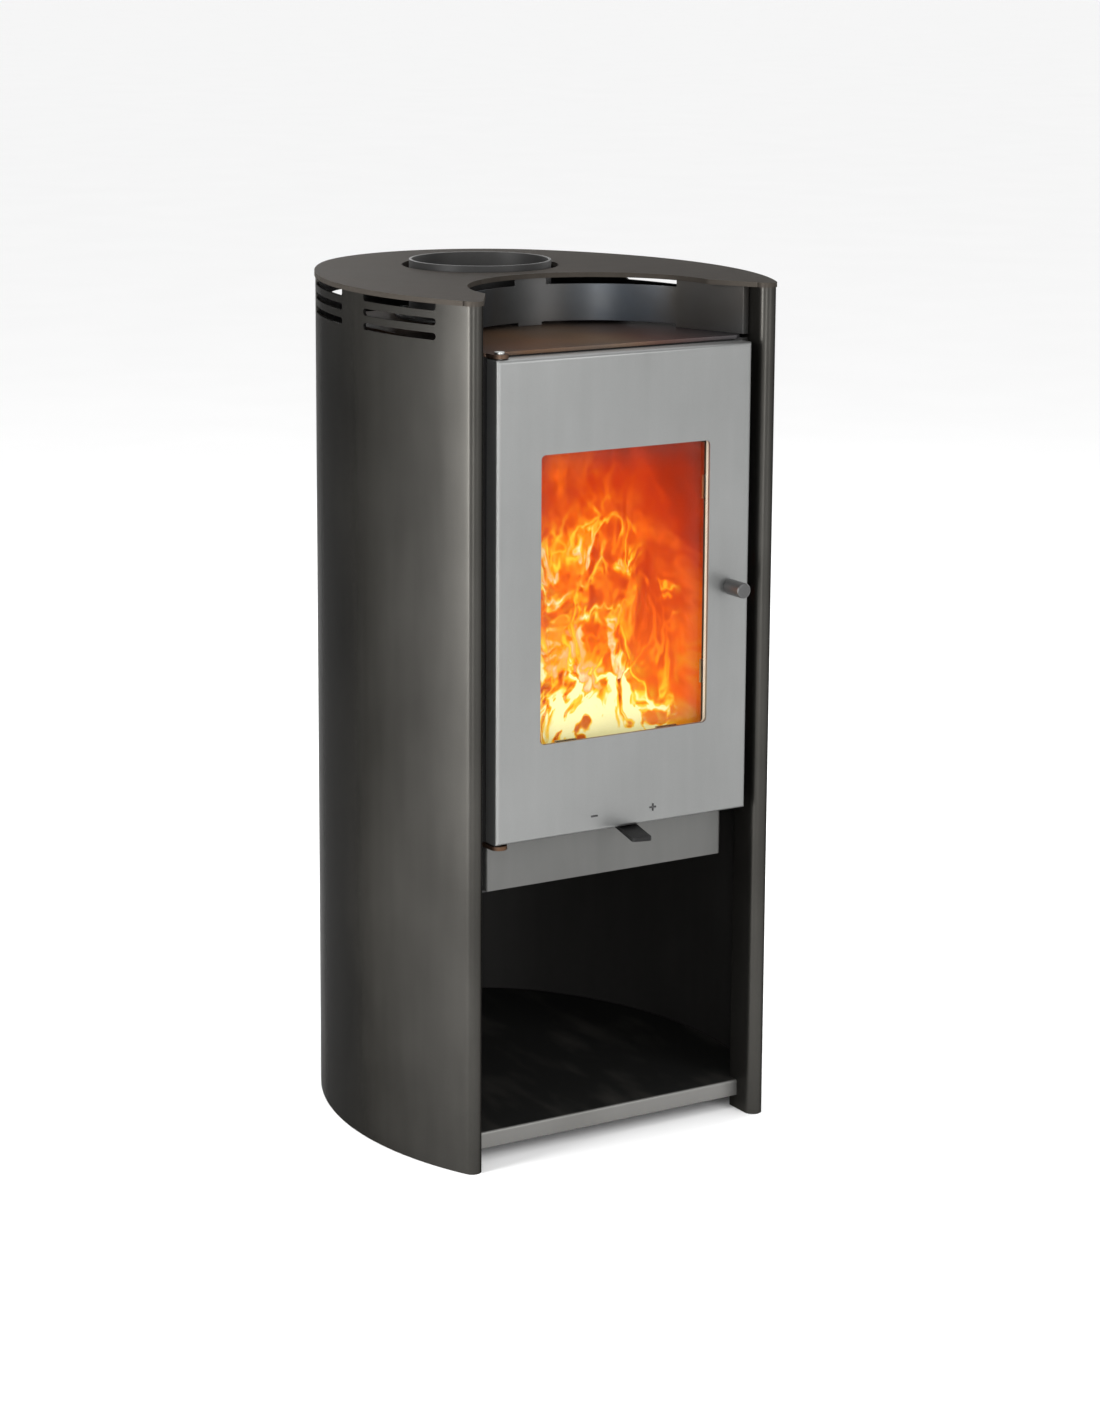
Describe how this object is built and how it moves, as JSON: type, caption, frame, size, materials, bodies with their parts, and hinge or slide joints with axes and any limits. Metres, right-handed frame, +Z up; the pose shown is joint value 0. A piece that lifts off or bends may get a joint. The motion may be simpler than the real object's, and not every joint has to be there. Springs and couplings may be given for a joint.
{
  "type": "wood burning stove",
  "caption": "Freestanding wood burning stove with an oval wrapped steel shell, glass door, ash drawer, air lever, warming recess and open log store.",
  "frame": {"origin": "on the floor, midway between the two sides of the shell, 278 mm in front of its back", "axes": "+Z up, the door faces -Y, +X to the right seen from the front"},
  "size_m": [0.436, 0.4917, 0.886],
  "materials": {
    "shell": "dark warm grey satin paint",
    "top": "dark brown-grey satin paint",
    "dark_steel": "matt black heatproof paint",
    "zinc": "zinc plated",
    "wall_steel": "bare steel with heat tint",
    "tinted_steel": "steel browned by heat",
    "floor": "mid grey satin paint",
    "brick": "vermiculite firebrick",
    "iron": "cast iron, sooted",
    "door": "silver grey metallic satin paint",
    "glass": "ceramic stove glass",
    "gasket": "ceramic fibre rope",
    "knob": "blackened steel",
    "apron": "grey metallic satin paint",
    "tray": "galvanised sheet"
  },
  "bodies": {
    "stove": {"outer_shell": "shell", "top_plate": "top", "flue_collar": "dark_steel", "collar_bolts": "zinc", "recess_wall": "wall_steel", "firebox_body": "dark_steel", "firebox_top": "tinted_steel", "firebox_front": "dark_steel", "floor_plate": "floor", "log_store_roof": "dark_steel", "drawer_rails": "dark_steel", "heat_shield": "wall_steel", "shield_spacers": "zinc", "brick_left": "brick", "brick_right": "brick", "brick_back": "brick", "brick_back_corners": "brick", "brick_floor": "brick", "grate": "iron", "log_bar": "iron", "baffle": "brick", "baffle_supports": "iron", "hinge_lugs": "dark_steel", "hinge_pins": "zinc", "latch_keeper": "zinc", "air_port_plate": "dark_steel", "lever_pin": "zinc"},
    "door": {"door_panel": "door", "door_frame": "dark_steel", "door_glass": "glass", "glass_gasket": "gasket", "glass_clips": "zinc", "door_screws": "zinc", "rope_seal": "gasket", "hinge_sleeves": "dark_steel", "latch_tongue": "zinc", "door_knob": "knob", "knob_screw": "zinc"},
    "air_control": {"air_lever": "knob", "air_valve": "dark_steel"},
    "ash_drawer": {"drawer_front": "apron", "drawer_tray": "tray", "drawer_rivets": "zinc"}
  },
  "joints": [
    {"name": "door_hinge", "type": "hinge", "parent": "stove", "child": "door", "pos_m": [-0.14, -0.161, 0.579], "axis": [0, 0, -1], "range_deg": [0, 115]},
    {"name": "air_lever_pivot", "type": "hinge", "parent": "stove", "child": "air_control", "pos_m": [0.038, -0.06, 0.333], "axis": [0, 0, 1], "range_deg": [-13, 13]},
    {"name": "ash_drawer_slide", "type": "slide", "parent": "stove", "child": "ash_drawer", "axis": [0, -1, 0], "range_m": [0, 0.2]}
  ]
}
